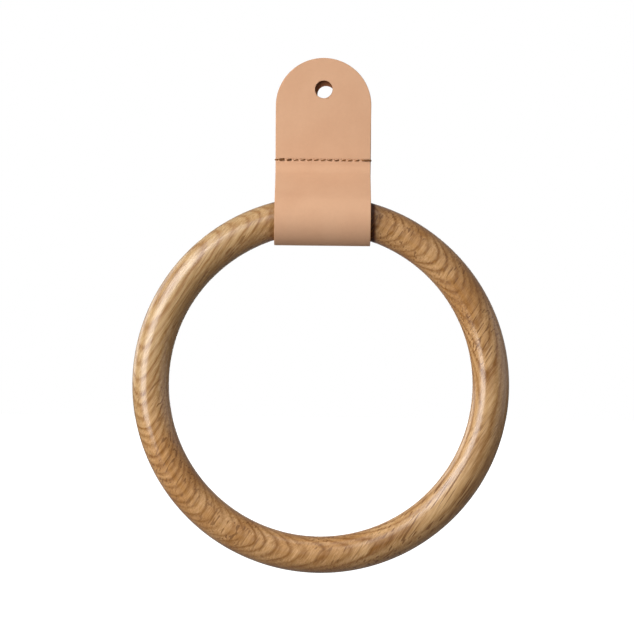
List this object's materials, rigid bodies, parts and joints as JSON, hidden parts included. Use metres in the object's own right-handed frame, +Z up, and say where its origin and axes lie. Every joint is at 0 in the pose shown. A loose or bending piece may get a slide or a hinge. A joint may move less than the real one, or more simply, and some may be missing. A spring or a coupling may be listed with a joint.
{
  "type": "towel ring",
  "caption": "Wooden ring hanging in a folded, stitched leather strap that a screw holds to a wall; a towel is pulled through the ring.",
  "frame": {"origin": "on the strap's flat back face where it lies on the wall, on the strap's centre line, 20.7 mm below the screw hole's centre in the front ply", "axes": "+Z up, +X along the strap's width, +Y into the wall, so the room is on the -Y side"},
  "size_m": [0.2, 0.0293, 0.2741],
  "materials": {
    "oak": "satin clear finish over turned oak",
    "leather": "undyed vegetable-tanned leather, smooth side out",
    "needle_thread": "twisted waxed thread, brown",
    "bobbin_thread": "twisted waxed thread, brown"
  },
  "bodies": {
    "strap": {"leather_strap": "leather", "needle_thread": "needle_thread", "bobbin_thread": "bobbin_thread"},
    "ring": {"oak_ring": "oak"}
  },
  "joints": [
    {"name": "ring_swing", "type": "hinge", "parent": "strap", "child": "ring", "pos_m": [0, -0.01465, -0.0483], "axis": [-1, 0, 0], "range_deg": [-1.5, 180]}
  ]
}
